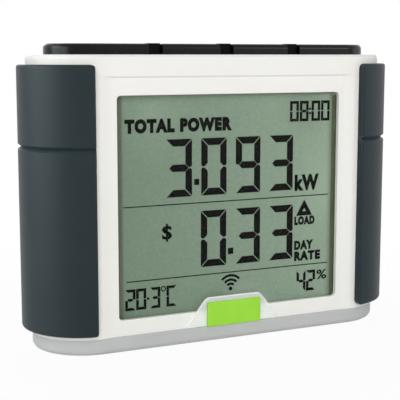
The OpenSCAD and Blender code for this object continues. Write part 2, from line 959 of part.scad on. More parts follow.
// Plunger of the switch under one key, counted from the left
module plunger(i) {
    mid = (key_edges[i][0] + key_edges[i][1]) / 2;
    color("#c9c4b4")
        translate([mid, 0, plunger_z])
            cylinder(r = plunger_r, h = z_plunger_top - plunger_z);
}

module outer_left_plunger() {
    plunger(0);
}

module inner_left_plunger() {
    plunger(1);
}

module inner_right_plunger() {
    plunger(2);
}

module outer_right_plunger() {
    plunger(3);
}

module switch_housings() {
    color("#3b3b3e")
        for (edges = key_edges) {
            mid = (edges[0] + edges[1]) / 2;
            difference() {
                translate([mid - switch_w / 2, -switch_w / 2, z_switch])
                    cube([switch_w, switch_w, switch_h]);
                translate([mid, 0, z_switch + switch_floor])
                    cylinder(r = plunger_r + pin_gap, h = switch_h);
            }
        }
}

module key_board() {
    color("#2f6b3f")
        difference() {
            translate([-key_board_w / 2, -key_board_d / 2, z_key_board])
                cube([key_board_w, key_board_d, board_t]);
            for (x = [-key_post_x, key_post_x])
                translate([x, 0, z_key_board - over])
                    cylinder(r = pass_r, h = board_t + 2 * over);
        }
}

// Flat ribbon that joins the key board to the back of the main board
module key_ribbon() {
    ribbon_w = 14;
    ribbon_t = 0.4;
    ribbon_lap = 5;
    low = board_top - ribbon_lap;
    color("#b9bcc2")
        union() {
            block(ribbon_x, (low + z_key_board) / 2, ribbon_w, z_key_board - low,
                y_board_back, y_board_back + ribbon_t);
            block(ribbon_x, z_key_board - ribbon_t / 2, ribbon_w, ribbon_t,
                y_board_back, -key_board_d / 2 + ribbon_lap);
        }
}

// Height of one of the cells, counted from the lowest
function cell_z(i) = bay_mid + (i - (cells - 1) / 2) * cell_pitch;

// Which way a cell points: neighbours lie head to tail
function cell_way(i) = i % 2 == 0 ? 1 : -1;

module battery_cells() {
    body_len = cell_len - cell_nub;
    color("#4a6fa5")
        for (i = [0:cells - 1])
            translate([cell_way(i) * cell_shift, cell_y, cell_z(i)])
                rotate([0, cell_way(i) * 90, 0])
                    translate([0, 0, -cell_len / 2]) {
                        cylinder(r = cell_r, h = body_len);
                        cylinder(r = cell_nub_r, h = cell_len);
                    }
}

// Half of the depth of the contacts at the ends of the cells
contact_half = 5;

// Bent leaf that presses on the flat end of each cell
module contact_leaves() {
    reach = leaf_room - snap_gap;
    half = contact_half;
    color("#cfd1d4")
        for (i = [0:cells - 1])
            translate([-cell_way(i) * bay_w / 2, cell_y, cell_z(i) - contact_w / 2])
                mirror([cell_way(i) == 1 ? 0 : 1, 0, 0])
                    linear_extrude(contact_w)
                        polygon([
                            [0, -half], [contact_t, -half], [contact_t, half - 2 * contact_t],
                            [reach - contact_t, contact_t], [reach - contact_t, -half / 2],
                            [reach, -half / 2], [reach, 2 * contact_t], [contact_t, half], [0, half]
                        ]);
}

module contact_plates() {
    color("#cfd1d4")
        for (i = [0:cells - 1])
            block(cell_way(i) * (bay_w - contact_t) / 2, cell_z(i), contact_t, contact_w,
                cell_y - contact_half, cell_y + contact_half);
}

// Wires from the bay's ends forwards to the main board
module battery_leads() {
    color("#b03a2e")
        for (side = [-1, 1])
            rod(side * lead_x, bay_mid, lead_r, y_board_back, cell_y);
}

module battery_door() {
    slit = 0.8;
    slit_h = 9;
    ridges = 3;
    ridge_h = 0.8;
    ridge_out = 0.4;
    ridge_inset = 2;
    y0 = body_r - door_t;
    color("#efeeea")
        union() {
            difference() {
                union() {
                    block(0, (door_low + hinge_z) / 2, door_w, hinge_z - door_low, y0, body_r);
                    translate([-door_w / 2, hinge_y, hinge_z])
                        rotate([0, 90, 0])
                            cylinder(r = door_t / 2, h = door_w);
                }
                for (side = [-1, 1])
                    block(side * (latch_w + slit) / 2, door_low + slit_h / 2 - over, slit, slit_h + 2 * over,
                        y0 - over, body_r + over);
            }
            translate([-door_w / 2 - pin_len, hinge_y, hinge_z])
                rotate([0, 90, 0])
                    cylinder(r = pin_r, h = door_w + 2 * pin_len);
            for (i = [0:ridges - 1])
                block(0, door_low + ridge_inset + i * 2 * ridge_h, latch_w - 2 * ridge_inset, ridge_h,
                    body_r - eps, body_r + ridge_out);
        }
}

module case_screws() {
    color("#8b8d90")
        for (x = [-case_screw_x, case_screw_x], z = [case_low_z, case_high_z])
            translate([x, body_r - sink_depth, z])
                rotate([90, 0, 0])
                    screw();
}

module base_screws() {
    color("#8b8d90")
        for (x = [-base_screw_x, base_screw_x])
            translate([x, 0, z_base + sink_depth])
                screw();
}

module board_screws() {
    color("#8b8d90") {
        for (x = [-post_x, post_x], rise = [-post_rise, post_rise])
            translate([x, y_board_back, window_mid + rise])
                rotate([90, 0, 0])
                    screw();
        for (x = [-key_post_x, key_post_x])
            translate([x, 0, z_key_board])
                screw();
    }
}

module rubber_feet() {
    color("#2b2b2c")
        for (x = [-foot_x, foot_x], y = [-foot_y, foot_y])
            translate([x, y, 0])
                cylinder(r = foot_r, h = foot_h + foot_seat);
}

front_cover();
rear_cover();
base_plinth();
left_grip();
right_grip();
badge_tab();
badge_plate();
window_lens();
lcd_gasket();
lcd_glass();
lcd_reflector();
lcd_holder();
zebra_strips();
main_board();
processor_chip();
receiver_module();
antenna_wire();
clock_crystal();
climate_sensor();
alarm_buzzer();
key_bezel();
outer_left_key();
inner_left_key();
inner_right_key();
outer_right_key();
key_board();
switch_housings();
outer_left_plunger();
inner_left_plunger();
inner_right_plunger();
outer_right_plunger();
key_ribbon();
battery_cells();
contact_leaves();
contact_plates();
battery_leads();
battery_door();
case_screws();
base_screws();
board_screws();
rubber_feet();
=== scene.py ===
import bpy
import math
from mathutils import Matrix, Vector


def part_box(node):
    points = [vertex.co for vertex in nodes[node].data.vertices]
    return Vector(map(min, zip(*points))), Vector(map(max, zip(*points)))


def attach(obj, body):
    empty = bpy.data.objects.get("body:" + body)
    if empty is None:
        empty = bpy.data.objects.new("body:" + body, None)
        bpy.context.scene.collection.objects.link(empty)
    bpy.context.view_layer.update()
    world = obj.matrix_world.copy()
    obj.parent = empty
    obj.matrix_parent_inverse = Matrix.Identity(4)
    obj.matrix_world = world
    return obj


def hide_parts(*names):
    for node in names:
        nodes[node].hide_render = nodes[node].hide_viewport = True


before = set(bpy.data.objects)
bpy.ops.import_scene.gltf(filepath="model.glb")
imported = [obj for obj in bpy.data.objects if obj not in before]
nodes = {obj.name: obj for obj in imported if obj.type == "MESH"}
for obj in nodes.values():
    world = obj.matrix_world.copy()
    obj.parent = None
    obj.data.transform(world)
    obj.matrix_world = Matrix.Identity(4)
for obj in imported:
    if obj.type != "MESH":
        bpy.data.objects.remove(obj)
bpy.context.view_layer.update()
mm = 0.001
quarterTurn = math.radians(90)
halfTurn = math.radians(180)
smoothUnder = math.radians(30)  # edges flatter than this are shaded smooth
scene = bpy.context.scene
print("frame loaded,", len(nodes), "solids")


# sRGB hex text to linear colour
def srgb(hexText):
    channels = [int(hexText[i:i + 2], 16) / 255 for i in (1, 3, 5)]
    linear = [c / 12.92 if c <= 0.04045 else ((c + 0.055) / 1.055) ** 2.4 for c in channels]
    return (*linear, 1.0)


# sockets of a mix node, which go by number because several share a name
mixShare, mixFloatA, mixFloatB, mixColourA, mixColourB = 0, 2, 3, 6, 7
mixFloatOut, mixColourOut = 0, 2


# adds a node with its settings, socket values and links
def addNode(tree, kind, settings=(), values=(), links=()):
    node = tree.nodes.new(kind)
    for name, value in dict(settings).items():
        setattr(node, name, value)
    for socket, value in dict(values).items():
        node.inputs[socket].default_value = value
    for socket, source in dict(links).items():
        tree.links.new(source, node.inputs[socket])
    return node


def deselectAll():
    if bpy.context.object and bpy.context.object.mode != "OBJECT":
        bpy.ops.object.mode_set(mode="OBJECT")
    bpy.ops.object.select_all(action="DESELECT")


def makeActive(piece):
    deselectAll()
    piece.select_set(True)
    bpy.context.view_layer.objects.active = piece


# opens a piece in edit mode with the faces or edges selected that pass a test
def selectIn(piece, kind, test):
    makeActive(piece)
    bpy.ops.object.mode_set(mode="EDIT")
    bpy.ops.mesh.select_mode(type=kind)
    bpy.ops.mesh.select_all(action="DESELECT")
    bpy.ops.object.mode_set(mode="OBJECT")
    elements = piece.data.polygons if kind == "FACE" else piece.data.edges
    for element in elements:
        element.select = test(element)
    bpy.ops.object.mode_set(mode="EDIT")


# applies place, turn and scale, so that the object sits at the origin
def settle():
    bpy.ops.object.transform_apply(location=True, rotation=True, scale=True)


def joinAs(name, pieces):
    deselectAll()
    for piece in pieces:
        piece.select_set(True)
    bpy.context.view_layer.objects.active = pieces[0]
    if len(pieces) > 1:
        bpy.ops.object.join()
    joined = bpy.context.object
    joined.name = name
    joined.data.name = name
    return joined


def discard(pieces):
    deselectAll()
    for piece in pieces:
        piece.select_set(True)
    bpy.ops.object.delete()


# a copy with a mesh of its own, turned and moved, in metres
def copyAt(piece, place, turn=(0, 0, 0)):
    makeActive(piece)
    bpy.ops.object.duplicate()
    copy = bpy.context.object
    copy.location = place
    copy.rotation_euler = turn
    settle()
    return copy


def dress(piece, *materials):
    piece.data.materials.clear()
    for material in materials:
        piece.data.materials.append(material)


# Camera at the photograph's place
cameraSet = {
    "place": (-161.40, -329.06, 99.10),  # mm
    "down": 8.04,  # degrees below the level
    "turn": -25.52,  # degrees to the right of straight ahead
    "lens": 92.12,  # mm on a 36 mm sensor
    "sensor": 36,
    "nearest": 10,  # mm
}
bpy.ops.object.camera_add(
    location=[v * mm for v in cameraSet["place"]],
    rotation=(quarterTurn - math.radians(cameraSet["down"]), 0, math.radians(cameraSet["turn"])),
)
camera = bpy.context.object
camera.data.lens = cameraSet["lens"]
camera.data.sensor_width = cameraSet["sensor"]
camera.data.clip_start = cameraSet["nearest"] * mm
scene.camera = camera
print("camera placed")

# Plain studio: white surroundings, a pale floor, a large soft lamp in front, and weaker ones round it. Lamps
# that are sheen only show in glossy surfaces and light nothing else. One that is light only shows in none.
studio = {
    "skyLight": 0.27,
    "floorSize": 12.0,
    "floorGlow": 0.94,  # share of the floor by the object that is plain white to the camera
    "floorNear": 0.07,  # metres from the middle to where the floor begins to fade into the white
    "floorFar": 0.22,
    "floorColour": "#f0f0f0",
    "aim": (0, 0, 0.05),
    "lamps": {  # place, size, power and colour
        "keyLamp": ((-0.7, -2.1, 1.0), 2.2, 43.2, "#ffffff"),
        "leftLamp": ((-1.3, 0.45, 0.75), 0.9, 7.0, "#ffffff"),
        "backLamp": ((0.5, 1.4, 0.8), 1.0, 12.0, "#ffffff"),
        "sideLamp": ((-1.3, -0.05, 0.15), 1.3, 30.0, "#e6f6f8"),
        "rightLamp": ((1.3, -0.35, 0.25), 0.5, 1.0, "#ffffff"),
        "frontLamp": ((0.95, -1.25, 0.47), 0.5, 5.5, "#ffffff"),
    },
    "sheenOnly": ("sideLamp", "rightLamp", "frontLamp"),
    "lightOnly": ("keyLamp",),
}
scene.view_settings.view_transform = "Standard"
world = bpy.data.worlds.new("studioWhite")
scene.world = world
world.use_nodes = True
worldTree = world.node_tree
worldTree.nodes.clear()
white = (1, 1, 1, 1)
ray = addNode(worldTree, "ShaderNodeLightPath")
sky = addNode(worldTree, "ShaderNodeBackground", values={"Color": white, "Strength": studio["skyLight"]})
backdrop = addNode(worldTree, "ShaderNodeBackground", values={"Color": white, "Strength": 1.0})
mirrored = addNode(worldTree, "ShaderNodeMath", {"operation": "MAXIMUM"},
                   links={0: ray.outputs["Is Glossy Ray"], 1: ray.outputs["Is Transmission Ray"]})
seen = addNode(worldTree, "ShaderNodeMath", {"operation": "MAXIMUM"},
               links={0: ray.outputs["Is Camera Ray"], 1: mirrored.outputs[0]})
skyMix = addNode(worldTree, "ShaderNodeMixShader",
                 links={0: seen.outputs[0], 1: sky.outputs[0], 2: backdrop.outputs[0]})
addNode(worldTree, "ShaderNodeOutputWorld", links={"Surface": skyMix.outputs[0]})

deselectAll()
bpy.ops.mesh.primitive_plane_add(size=studio["floorSize"], location=(0, 0, 0))
floor = bpy.context.object
floor.name = "studioFloor"
floorPaper = bpy.data.materials.new("whitePaperSweep")  # matt paper that fades into the white around it
floorPaper.use_nodes = True
floorTree = floorPaper.node_tree
floorTree.nodes.clear()
floorRay = addNode(floorTree, "ShaderNodeLightPath")
floorMatt = addNode(floorTree, "ShaderNodeBsdfDiffuse", values={"Color": srgb(studio["floorColour"])})
floorWhite = addNode(floorTree, "ShaderNodeEmission", values={"Color": white, "Strength": 1.0})
floorMirrored = addNode(floorTree, "ShaderNodeMath", {"operation": "MAXIMUM"},
                        links={0: floorRay.outputs["Is Glossy Ray"],
                               1: floorRay.outputs["Is Transmission Ray"]})
floorSeen = addNode(floorTree, "ShaderNodeMath", {"operation": "MAXIMUM"},
                    links={0: floorRay.outputs["Is Camera Ray"], 1: floorMirrored.outputs[0]})
floorPlace = addNode(floorTree, "ShaderNodeTexCoord")
floorAway = addNode(floorTree, "ShaderNodeVectorMath", {"operation": "LENGTH"},
                    links={0: floorPlace.outputs["Object"]})
floorFade = addNode(floorTree, "ShaderNodeMapRange",
                    values={"From Min": studio["floorNear"], "From Max": studio["floorFar"],
                            "To Min": studio["floorGlow"], "To Max": 1.0},
                    links={"Value": floorAway.outputs["Value"]})
floorShare = addNode(floorTree, "ShaderNodeMath", {"operation": "MULTIPLY"},
                     links={0: floorSeen.outputs[0], 1: floorFade.outputs["Result"]})
floorMix = addNode(floorTree, "ShaderNodeMixShader",
                   links={0: floorShare.outputs[0], 1: floorMatt.outputs[0], 2: floorWhite.outputs[0]})
addNode(floorTree, "ShaderNodeOutputMaterial", links={"Surface": floorMix.outputs[0]})
dress(floor, floorPaper)

for lampName, (lampPlace, lampSize, power, colour) in studio["lamps"].items():
    bpy.ops.object.light_add(type="AREA", location=lampPlace)
    lamp = bpy.context.object
    lamp.name = lampName
    lamp.data.size = lampSize
    lamp.data.energy = power
    lamp.data.color = srgb(colour)[:3]
    lamp.visible_diffuse = lampName not in studio["sheenOnly"]
    lamp.visible_glossy = lampName not in studio["lightOnly"]
    towards = Vector(studio["aim"]) - Vector(lampPlace)
    lamp.rotation_euler = towards.to_track_quat("-Z", "Y").to_euler()
print("studio lit")


# Moulded plastic: a body colour with a faint cloudiness from the melt, and a fine grain from the mould's
# spark-eroded steel that breaks up the gloss. Grain and cloud sizes are in mm, and the relief is a share of
# the grain's size. A band between two heights, in mm, may get a paler colour as painted light.
plainFinish = {
    "ior": 1.5, "metallic": 0.0, "specular": 0.5, "coat": 0.0, "alpha": 1.0,
    "cloudDetail": 3.0, "grainDetail": 2.0, "relief": 0.2,
}
noiseLow, noiseHigh = 0.3, 0.7  # most of a noise pattern lies between these


def mouldedPlastic(name, ownFinish):
    finish = {**plainFinish, **ownFinish}
    material = bpy.data.materials.new(name)
    material.use_nodes = True
    tree = material.node_tree
    shader = tree.nodes["Principled BSDF"]
    shader.inputs["IOR"].default_value = finish["ior"]
    shader.inputs["Metallic"].default_value = finish["metallic"]
    shader.inputs["Specular IOR Level"].default_value = finish["specular"]
    shader.inputs["Coat Weight"].default_value = finish["coat"]
    shader.inputs["Alpha"].default_value = finish["alpha"]
    place = addNode(tree, "ShaderNodeTexCoord").outputs["Object"]
    cloud = addNode(tree, "ShaderNodeTexNoise",
                    values={"Scale": 1 / (finish["cloudMm"] * mm), "Detail": finish["cloudDetail"]},
                    links={"Vector": place})
    tint = addNode(tree, "ShaderNodeValToRGB", links={"Fac": cloud.outputs["Fac"]})
    tint.color_ramp.elements[0].position = noiseLow
    tint.color_ramp.elements[0].color = srgb(finish["dark"])
    tint.color_ramp.elements[1].position = noiseHigh
    tint.color_ramp.elements[1].color = srgb(finish["light"])
    colour = tint.outputs["Color"]
    # A band of painted light, paler than the body colour
    if "band" in finish:
        low, high, bandLight = finish["band"]
        height = addNode(tree, "ShaderNodeSeparateXYZ", links={"Vector": place}).outputs["Z"]
        above = addNode(tree, "ShaderNodeMath", {"operation": "GREATER_THAN"}, {1: low * mm}, {0: height})
        below = addNode(tree, "ShaderNodeMath", {"operation": "LESS_THAN"}, {1: high * mm}, {0: height})
        within = addNode(tree, "ShaderNodeMath", {"operation": "MULTIPLY"},
                         links={0: above.outputs[0], 1: below.outputs[0]})
        banded = addNode(tree, "ShaderNodeMix", {"data_type": "RGBA"}, {mixColourB: srgb(bandLight)},
                         {mixShare: within.outputs[0], mixColourA: colour})
        colour = banded.outputs[mixColourOut]
    tree.links.new(colour, shader.inputs["Base Color"])
    grain = addNode(tree, "ShaderNodeTexNoise",
                    values={"Scale": 1 / (finish["grainMm"] * mm), "Detail": finish["grainDetail"]},
                    links={"Vector": place})
    gloss = addNode(tree, "ShaderNodeMapRange",
                    values={"From Min": noiseLow, "From Max": noiseHigh,
                            "To Min": finish["roughLow"], "To Max": finish["roughHigh"]},
                    links={"Value": grain.outputs["Fac"]})
    tree.links.new(gloss.outputs["Result"], shader.inputs["Roughness"])
    bump = addNode(tree, "ShaderNodeBump",
                   values={"Strength": finish["bump"], "Distance": finish["grainMm"] * mm * finish["relief"]},
                   links={"Height": grain.outputs["Fac"]})
    tree.links.new(bump.outputs["Normal"], shader.inputs["Normal"])
    return material


# White ABS housing: satin from fine spark erosion, drawn coarser than its real 0.2 mm so that it shows
whiteAbs = mouldedPlastic("whiteAbsSatin", {
    "light": "#f1f0ec", "dark": "#eeede8", "cloudMm": 28, "grainMm": 0.6,
    "roughLow": 0.46, "roughHigh": 0.58, "bump": 0.12, "ior": 1.53, "specular": 0.3,
})
# Plinth: the same plastic in light grey
greyAbs = mouldedPlastic("greyAbsSatin", {
    "light": "#bfc1c0", "dark": "#babcbb", "cloudMm": 22, "grainMm": 0.6,
    "roughLow": 0.46, "roughHigh": 0.58, "bump": 0.14, "ior": 1.53, "specular": 0.3,
})
# Grips: slate grey plastic under a soft-touch lacquer, which is dull with a wide pale sheen. The groove
# is painted paler, as painted light over its shade. The groove's middle is measured down from the grips'
# tops, in mm.
grooveSet = {"drop": 27.1, "halfHeight": 0.95, "bare": "#2e3a3f"}
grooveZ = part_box("left_grip")[1].z / mm - grooveSet["drop"]
slateGrip = mouldedPlastic("slateSoftTouchLacquer", {
    "light": "#1d292d", "dark": "#1a262a", "cloudMm": 16, "grainMm": 0.5,
    "roughLow": 0.4, "roughHigh": 0.5, "bump": 0.18, "ior": 1.5, "specular": 0.21,
    "band": (grooveZ - grooveSet["halfHeight"], grooveZ + grooveSet["halfHeight"], grooveSet["bare"]),
})
# Keys: black ABS from a polished mould, semi-gloss, with finely textured tops that are dull
blackKey = mouldedPlastic("blackAbsSemiGloss", {
    "light": "#0e0e0f", "dark": "#0b0b0c", "cloudMm": 12, "grainMm": 0.5,
    "roughLow": 0.2, "roughHigh": 0.26, "bump": 0.05, "ior": 1.53, "specular": 0.14,
})
keyTopSet = {"sideUp": 0.8, "topUp": 0.97, "rough": 0.75}  # how far a face is turned up, and its roughness
keyTree = blackKey.node_tree
keyGloss = keyTree.nodes["Principled BSDF"].inputs["Roughness"]
keyFacing = addNode(keyTree, "ShaderNodeNewGeometry")
keyUp = addNode(keyTree, "ShaderNodeSeparateXYZ", links={"Vector": keyFacing.outputs["Normal"]})
keyTop = addNode(keyTree, "ShaderNodeMapRange",
                 values={"From Min": keyTopSet["sideUp"], "From Max": keyTopSet["topUp"]},
                 links={"Value": keyUp.outputs["Z"]})
keyRough = addNode(keyTree, "ShaderNodeMix", {"data_type": "FLOAT"}, {mixFloatB: keyTopSet["rough"]},
                   {mixShare: keyTop.outputs["Result"], mixFloatA: keyGloss.links[0].from_socket})
keyTree.links.new(keyRough.outputs[mixFloatOut], keyGloss)
# Bezel between the keys: black ABS as moulded, dull
blackBezel = mouldedPlastic("blackAbsDull", {
    "light": "#0b0b0c", "dark": "#080809", "cloudMm": 12, "grainMm": 0.4,
    "roughLow": 0.5, "roughHigh": 0.62, "bump": 0.2, "ior": 1.53, "specular": 0.05,
})
# Badge: printed polycarbonate plate under a satin lacquer
greenBadge = mouldedPlastic("greenPrintedPlate", {
    "light": "#a0e041", "dark": "#9ada3b", "cloudMm": 9, "grainMm": 0.4,
    "roughLow": 0.4, "roughHigh": 0.5, "bump": 0.05, "ior": 1.58, "specular": 0.2,
})
# Tab: clear acrylic frosted by fine blasting, milky all through
frostedTab = mouldedPlastic("frostedAcrylic", {
    "light": "#eff2ee", "dark": "#e9eee9", "cloudMm": 10, "grainMm": 0.4,
    "roughLow": 0.34, "roughHigh": 0.44, "bump": 0.08, "ior": 1.49, "specular": 0.3, "alpha": 0.5,
})
# Edge of the tab: the same acrylic, polished, painted near white and opaque as painted light for the light it
# gathers
brightEdge = mouldedPlastic("polishedAcrylicEdge", {
    "light": "#fafcfa", "dark": "#f6f9f6", "cloudMm": 6, "grainMm": 0.4,
    "roughLow": 0.15, "roughHigh": 0.25, "bump": 0.02, "ior": 1.49,
})
# Window pane: thin polished acrylic with a faint smoke, close to unseen
clearPane = mouldedPlastic("clearAcrylicPane", {
    "light": "#2a332e", "dark": "#222a26", "cloudMm": 30, "grainMm": 2.0,
    "roughLow": 0.04, "roughHigh": 0.06, "bump": 0.0, "ior": 1.49, "alpha": 0.025,
})
# Gasket: closed-cell foam, dull olive, painted paler along its upper run as painted light over the shade
# there
gasketSet = {"from": 85.0, "to": 90.0, "paintedTopLight": "#8d9680"}  # mm
foamGasket = mouldedPlastic("foamGasketOlive", {
    "light": "#5f6651", "dark": "#575d4a", "cloudMm": 2, "grainMm": 0.5,
    "roughLow": 0.8, "roughHigh": 0.92, "bump": 0.4, "specular": 0.2,
    "band": (gasketSet["from"], gasketSet["to"], gasketSet["paintedTopLight"]),
})
# Feet: nitrile rubber pads, dull black
rubberPad = mouldedPlastic("nitrileRubberPad", {
    "light": "#2b2b2c", "dark": "#232324", "cloudMm": 3, "grainMm": 0.4,
    "roughLow": 0.75, "roughHigh": 0.88, "bump": 0.35, "ior": 1.52,
})
# Contacts and cans: nickel-plated steel, with the faint mottle of the plating
nickelSteel = mouldedPlastic("nickelPlatedSteel", {
    "light": "#c9c8c4", "dark": "#b4b4b2", "cloudMm": 1.5, "grainMm": 0.3,
    "roughLow": 0.22, "roughHigh": 0.36, "bump": 0.08, "metallic": 1.0,
})
# Screws: zinc-plated steel, cooler and duller
zincSteel = mouldedPlastic("zincPlatedSteel", {
    "light": "#b9bcc0", "dark": "#9a9da2", "cloudMm": 0.8, "grainMm": 0.25,
    "roughLow": 0.3, "roughHigh": 0.48, "bump": 0.12, "metallic": 1.0,
})
# Aerial: enamelled copper wire, amber under the varnish
copperWire = mouldedPlastic("enamelledCopper", {
    "light": "#c07a3c", "dark": "#a5622c", "cloudMm": 1, "grainMm": 0.3,
    "roughLow": 0.2, "roughHigh": 0.3, "bump": 0.05, "metallic": 1.0, "coat": 0.3,
})
# Inner mouldings: natural ABS, off-white and dull
paleAbs = mouldedPlastic("naturalAbs", {
    "light": "#dcdbd5", "dark": "#d2d1ca", "cloudMm": 14, "grainMm": 0.5,
    "roughLow": 0.5, "roughHigh": 0.64, "bump": 0.15,
})
# Chips, switches and the buzzer: moulded epoxy, charcoal with a matt skin
blackEpoxy = mouldedPlastic("mouldedEpoxy", {
    "light": "#262628", "dark": "#1c1c1e", "cloudMm": 2, "grainMm": 0.25,
    "roughLow": 0.55, "roughHigh": 0.7, "bump": 0.3,
})
# Contact strips: pink silicone with dark carbon layers too fine to draw apart
pinkSilicone = mouldedPlastic("layeredSilicone", {
    "light": "#d596a6", "dark": "#b97586", "cloudMm": 0.6, "grainMm": 0.3,
    "roughLow": 0.6, "roughHigh": 0.75, "bump": 0.2,
})
# Reflector: satin aluminium film
satinFilm = mouldedPlastic("satinAluminiumFilm", {
    "light": "#cdd0cb", "dark": "#c0c4be", "cloudMm": 4, "grainMm": 0.3,
    "roughLow": 0.4, "roughHigh": 0.5, "bump": 0.1, "metallic": 0.8,
})
# Leads: red PVC insulation
redLead = mouldedPlastic("redPvcInsulation", {
    "light": "#b5382c", "dark": "#a02e24", "cloudMm": 3, "grainMm": 0.4,
    "roughLow": 0.4, "roughHigh": 0.52, "bump": 0.1,
})
# Ribbon: polyester film over tinned strips
ribbonFilm = mouldedPlastic("polyesterRibbonFilm", {
    "light": "#bfc3c8", "dark": "#aab0b8", "cloudMm": 1.2, "grainMm": 0.4,
    "roughLow": 0.25, "roughHigh": 0.35, "bump": 0.1,
})
# Cell sleeves: shrunk printed film, satin, in plain teal with a pale band
tealSleeve = mouldedPlastic("tealShrinkSleeve", {
    "light": "#5f8f8d", "dark": "#588684", "cloudMm": 8, "grainMm": 0.5,
    "roughLow": 0.28, "roughHigh": 0.36, "bump": 0.06, "ior": 1.54,
})
paleSleeve = mouldedPlastic("paleShrinkSleeve", {
    "light": "#d9dcd2", "dark": "#d0d3c9", "cloudMm": 8, "grainMm": 0.5,
    "roughLow": 0.28, "roughHigh": 0.36, "bump": 0.06, "ior": 1.54,
})
print("finishes mixed")


# Circuit board: glass-epoxy laminate under a solder mask, with copper tracks showing paler through it. The
# tracks' width, length and pitch are shares of their scale.
trackSet = {"width": 0.03, "length": 3.0, "pitch": 0.5}


def solderMask(name, board):
    material = mouldedPlastic(name, board)
    tree = material.node_tree
    shader = tree.nodes["Principled BSDF"]
    place = addNode(tree, "ShaderNodeTexCoord")
    turned = addNode(tree, "ShaderNodeMapping", values={"Rotation": (quarterTurn, 0, 0)},
                     links={"Vector": place.outputs["Object"]})
    tracks = addNode(tree, "ShaderNodeTexBrick", values={
        "Color1": srgb(board["dark"]), "Color2": srgb(board["light"]), "Mortar": srgb(board["track"]),
        "Scale": 1 / (board["trackMm"] * mm), "Mortar Size": trackSet["width"],
        "Brick Width": trackSet["length"], "Row Height": trackSet["pitch"],
    }, links={"Vector": turned.outputs["Vector"]})
    tree.links.new(tracks.outputs["Color"], shader.inputs["Base Color"])
    return material


greenBoard = solderMask("greenSolderMask", {
    "light": "#2a6a40", "dark": "#25613a", "track": "#3d8456", "trackMm": 3, "cloudMm": 6, "grainMm": 0.4,
    "roughLow": 0.3, "roughHigh": 0.4, "bump": 0.08,
})
blueBoard = solderMask("blueSolderMask", {
    "light": "#2f62a0", "dark": "#2a5890", "track": "#4b7fba", "trackMm": 2, "cloudMm": 6, "grainMm": 0.4,
    "roughLow": 0.3, "roughHigh": 0.4, "bump": 0.08,
})

dressing = {
    whiteAbs: ("front_cover", "rear_cover", "battery_door"),
    greyAbs: ("base_plinth",),
    slateGrip: ("left_grip", "right_grip"),
    blackKey: ("outer_left_key", "inner_left_key", "inner_right_key", "outer_right_key"),
    blackBezel: ("key_bezel",),
    greenBadge: ("badge_plate",),
    frostedTab: ("badge_tab",),
    clearPane: ("window_lens",),
    foamGasket: ("lcd_gasket",),
    rubberPad: ("rubber_feet",),
    nickelSteel: ("contact_leaves", "contact_plates", "clock_crystal"),
    zincSteel: ("case_screws", "base_screws", "board_screws"),
    copperWire: ("antenna_wire",),
    paleAbs: ("lcd_holder", "climate_sensor", "outer_left_plunger", "inner_left_plunger",
              "inner_right_plunger", "outer_right_plunger"),
    blackEpoxy: ("processor_chip", "alarm_buzzer", "switch_housings"),
    pinkSilicone: ("zebra_strips",),
    satinFilm: ("lcd_reflector",),
    redLead: ("battery_leads",),
    ribbonFilm: ("key_ribbon",),
    tealSleeve: ("battery_cells",),
    greenBoard: ("main_board", "key_board"),
    blueBoard: ("receiver_module",),
}
for material, nodeNames in dressing.items():
    for nodeName in nodeNames:
        dress(nodes[nodeName], material)
print("solids dressed")

# Reflective liquid crystal display: grey-green polariser over a satin reflector, finely mottled. Painted
# light makes it paler to the right, a few paler and darker patches are painted light and shade, and the
# border is the display's dark edge deepened with painted shade. Places and sizes are in mm.
lcdSet = {
    "deep": "#647660", "middle": "#7a8f7b", "pale": "#9cb09b", "border": "#646b5a",
    "left": -40, "right": 40, "leftTone": 0.48, "rightTone": 0.86,  # tone from deep, 0, to pale, 1
    "middleTone": 0.5,
    "patches": [  # x, z, radius, change of tone
        (40, 52, 24, 0.2), (30, 80, 14, -0.3), (-41, 14, 10, -0.25), (-30, 80, 24, 0.22),
        (6, 9, 15, 0.8),
    ],
    "mottleMm": 0.8, "mottle": 0.08, "mottleDetail": 4.0,
    "edges": [  # axis, place, way in, softness
        ("X", -39.9, 1, 0.6), ("X", 40.9, -1, 1.9), ("Z", 85.9, -1, 0.4),
    ],
    "rough": 0.5, "specular": 0.15,
}
reflectiveLcd = bpy.data.materials.new("reflectiveLcdGlass")
reflectiveLcd.use_nodes = True
lcdTree = reflectiveLcd.node_tree
lcdShader = lcdTree.nodes["Principled BSDF"]
lcdShader.inputs["Roughness"].default_value = lcdSet["rough"]
lcdShader.inputs["Specular IOR Level"].default_value = lcdSet["specular"]
lcdPlace = addNode(lcdTree, "ShaderNodeTexCoord")
lcdAxes = addNode(lcdTree, "ShaderNodeSeparateXYZ", links={"Vector": lcdPlace.outputs["Object"]})
# Painted light: paler towards the right
lcdTone = addNode(lcdTree, "ShaderNodeMapRange",
                  values={"From Min": lcdSet["left"] * mm, "From Max": lcdSet["right"] * mm,
                          "To Min": lcdSet["leftTone"], "To Max": lcdSet["rightTone"]},
                  links={"Value": lcdAxes.outputs["X"]}).outputs["Result"]
lcdMottle = addNode(lcdTree, "ShaderNodeTexNoise",
                    values={"Scale": 1 / (lcdSet["mottleMm"] * mm), "Detail": lcdSet["mottleDetail"]},
                    links={"Vector": lcdPlace.outputs["Object"]})
lcdFleck = addNode(lcdTree, "ShaderNodeMapRange",
                   values={"From Min": noiseLow, "From Max": noiseHigh,
                           "To Min": -lcdSet["mottle"], "To Max": lcdSet["mottle"]},
                   links={"Value": lcdMottle.outputs["Fac"]})
lcdTone = addNode(lcdTree, "ShaderNodeMath", {"operation": "ADD"},
                  links={0: lcdTone, 1: lcdFleck.outputs["Result"]}).outputs[0]
